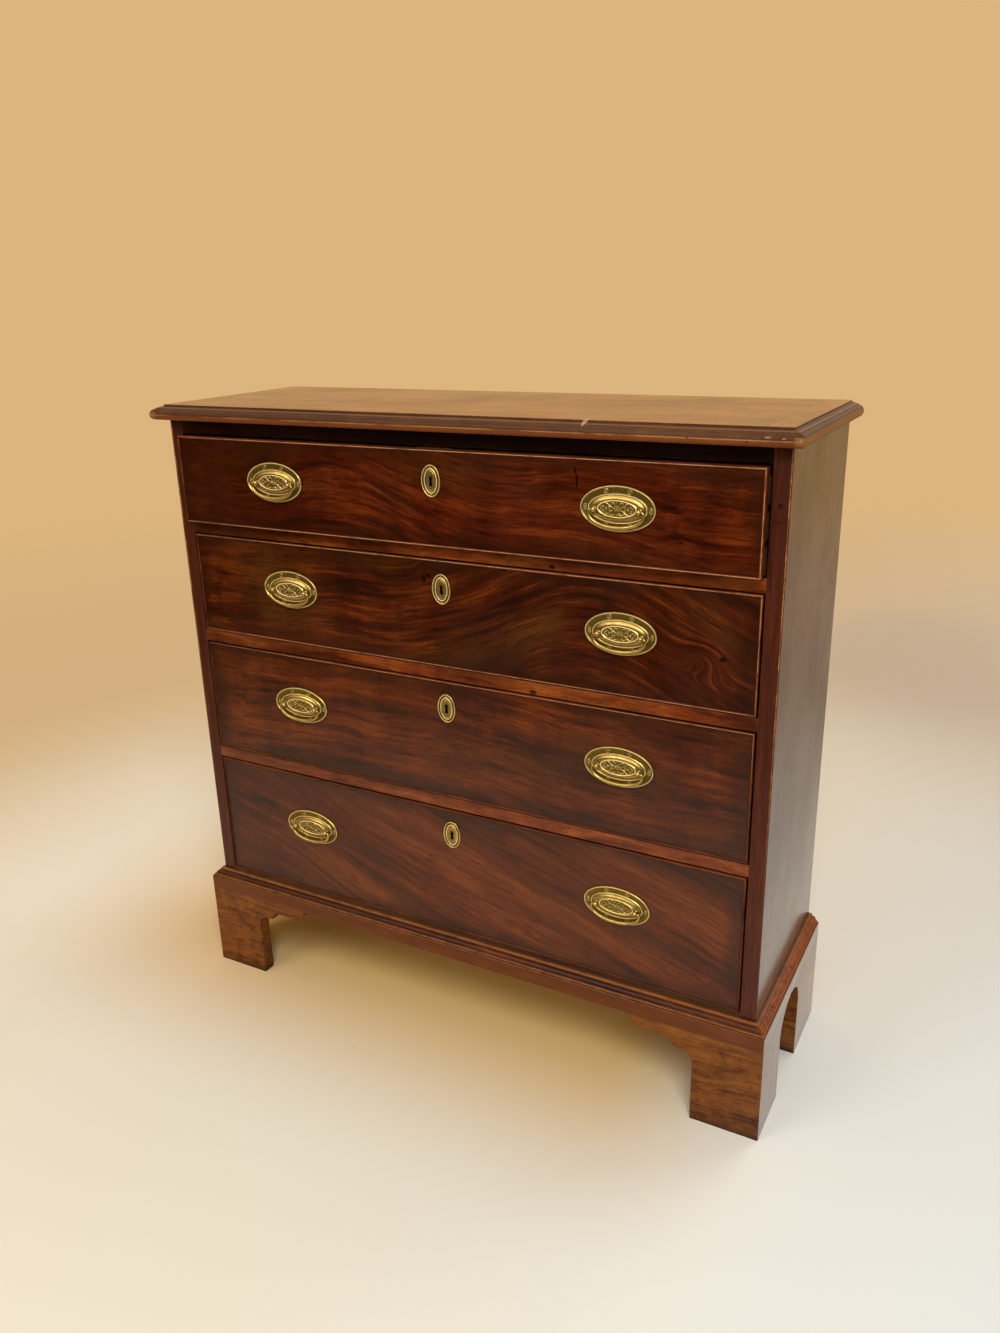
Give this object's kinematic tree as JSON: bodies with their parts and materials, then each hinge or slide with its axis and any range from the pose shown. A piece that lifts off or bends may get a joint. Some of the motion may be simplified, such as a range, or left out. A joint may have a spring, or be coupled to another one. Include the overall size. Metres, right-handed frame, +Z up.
{
  "type": "bachelor's chest of drawers",
  "caption": "Shallow chest of long graduated cock-beaded drawers on bracket feet, with a moulded top, bail handles on oval plates, and locks; drawers slide and bails swing.",
  "frame": {"origin": "on the floor, under the middle of the whole chest as it stands with its top drawer a little open", "axes": "+Z up, +X to the right seen from the front, +Y to the back; the drawers open towards -Y"},
  "size_m": [0.8708, 0.2908, 0.869],
  "materials": {
    "mahogany_top": "waxed, faded golden brown mahogany",
    "mahogany_side": "polished brown mahogany",
    "mahogany_rail": "polished red-brown mahogany",
    "mahogany_moulding": "polished dark mahogany",
    "mahogany_foot": "worn brown mahogany",
    "mahogany_front": "French polished figured mahogany",
    "mahogany_bead": "polished dark mahogany, worn lighter on its nose",
    "oak": "dry unpolished oak",
    "pine": "dry unpolished pine",
    "brass": "aged stamped brass",
    "lock_brass": "dull cast brass",
    "iron": "dull iron"
  },
  "bodies": {
    "carcass": {"top": "mahogany_top", "side_left": "mahogany_side", "side_right": "mahogany_side", "back_boards": "pine", "bottom_board": "pine", "drawer_rails": "mahogany_rail", "dustboards": "pine", "drawer_runners": "oak", "drawer_stops": "oak", "base_moulding": "mahogany_moulding", "bracket_feet": "mahogany_foot", "foot_blocks": "pine"},
    "drawer_1": {"drawer_1_front": "mahogany_front", "drawer_1_cock_beads": "mahogany_bead", "drawer_1_sides": "oak", "drawer_1_back": "oak", "drawer_1_bottom": "oak", "drawer_1_handle_plates": "brass", "drawer_1_handle_posts": "brass", "drawer_1_escutcheon": "brass", "drawer_1_lock": "lock_brass"},
    "bail_1_left": {"drawer_1_bail_left": "brass"},
    "bail_1_right": {"drawer_1_bail_right": "brass"},
    "lock_bolt_1": {"drawer_1_lock_bolt": "iron"},
    "drawer_2": {"drawer_2_front": "mahogany_front", "drawer_2_cock_beads": "mahogany_bead", "drawer_2_sides": "oak", "drawer_2_back": "oak", "drawer_2_bottom": "oak", "drawer_2_handle_plates": "brass", "drawer_2_handle_posts": "brass", "drawer_2_escutcheon": "brass", "drawer_2_lock": "lock_brass"},
    "bail_2_left": {"drawer_2_bail_left": "brass"},
    "bail_2_right": {"drawer_2_bail_right": "brass"},
    "lock_bolt_2": {"drawer_2_lock_bolt": "iron"},
    "drawer_3": {"drawer_3_front": "mahogany_front", "drawer_3_cock_beads": "mahogany_bead", "drawer_3_sides": "oak", "drawer_3_back": "oak", "drawer_3_bottom": "oak", "drawer_3_handle_plates": "brass", "drawer_3_handle_posts": "brass", "drawer_3_escutcheon": "brass", "drawer_3_lock": "lock_brass"},
    "bail_3_left": {"drawer_3_bail_left": "brass"},
    "bail_3_right": {"drawer_3_bail_right": "brass"},
    "lock_bolt_3": {"drawer_3_lock_bolt": "iron"},
    "drawer_4": {"drawer_4_front": "mahogany_front", "drawer_4_cock_beads": "mahogany_bead", "drawer_4_sides": "oak", "drawer_4_back": "oak", "drawer_4_bottom": "oak", "drawer_4_handle_plates": "brass", "drawer_4_handle_posts": "brass", "drawer_4_escutcheon": "brass", "drawer_4_lock": "lock_brass"},
    "bail_4_left": {"drawer_4_bail_left": "brass"},
    "bail_4_right": {"drawer_4_bail_right": "brass"},
    "lock_bolt_4": {"drawer_4_lock_bolt": "iron"}
  },
  "joints": [
    {"name": "drawer_1_slide", "type": "slide", "parent": "carcass", "child": "drawer_1", "axis": [0, -1, 0], "range_m": [-0.013, 0.152]},
    {"name": "bail_1_left_swing", "type": "hinge", "parent": "drawer_1", "child": "bail_1_left", "pos_m": [-0.2375, -0.14235, 0.775], "axis": [-1, 0, 0], "range_deg": [0, 170]},
    {"name": "bail_1_right_swing", "type": "hinge", "parent": "drawer_1", "child": "bail_1_right", "pos_m": [0.2375, -0.14235, 0.775], "axis": [-1, 0, 0], "range_deg": [0, 170]},
    {"name": "lock_bolt_1_slide", "type": "slide", "parent": "drawer_1", "child": "lock_bolt_1", "axis": [0, 0, 1], "range_m": [0, 0.008]},
    {"name": "drawer_2_slide", "type": "slide", "parent": "carcass", "child": "drawer_2", "axis": [0, -1, 0], "range_m": [0, 0.165]},
    {"name": "bail_2_left_swing", "type": "hinge", "parent": "drawer_2", "child": "bail_2_left", "pos_m": [-0.2375, -0.12935, 0.629], "axis": [-1, 0, 0], "range_deg": [0, 170]},
    {"name": "bail_2_right_swing", "type": "hinge", "parent": "drawer_2", "child": "bail_2_right", "pos_m": [0.2375, -0.12935, 0.629], "axis": [-1, 0, 0], "range_deg": [0, 170]},
    {"name": "lock_bolt_2_slide", "type": "slide", "parent": "drawer_2", "child": "lock_bolt_2", "axis": [0, 0, 1], "range_m": [0, 0.008]},
    {"name": "drawer_3_slide", "type": "slide", "parent": "carcass", "child": "drawer_3", "axis": [0, -1, 0], "range_m": [0, 0.165]},
    {"name": "bail_3_left_swing", "type": "hinge", "parent": "drawer_3", "child": "bail_3_left", "pos_m": [-0.2375, -0.12935, 0.4625], "axis": [-1, 0, 0], "range_deg": [0, 170]},
    {"name": "bail_3_right_swing", "type": "hinge", "parent": "drawer_3", "child": "bail_3_right", "pos_m": [0.2375, -0.12935, 0.4625], "axis": [-1, 0, 0], "range_deg": [0, 170]},
    {"name": "lock_bolt_3_slide", "type": "slide", "parent": "drawer_3", "child": "lock_bolt_3", "axis": [0, 0, 1], "range_m": [0, 0.008]},
    {"name": "drawer_4_slide", "type": "slide", "parent": "carcass", "child": "drawer_4", "axis": [0, -1, 0], "range_m": [0, 0.165]},
    {"name": "bail_4_left_swing", "type": "hinge", "parent": "drawer_4", "child": "bail_4_left", "pos_m": [-0.2375, -0.12935, 0.2725], "axis": [-1, 0, 0], "range_deg": [0, 170]},
    {"name": "bail_4_right_swing", "type": "hinge", "parent": "drawer_4", "child": "bail_4_right", "pos_m": [0.2375, -0.12935, 0.2725], "axis": [-1, 0, 0], "range_deg": [0, 170]},
    {"name": "lock_bolt_4_slide", "type": "slide", "parent": "drawer_4", "child": "lock_bolt_4", "axis": [0, 0, 1], "range_m": [0, 0.008]}
  ]
}
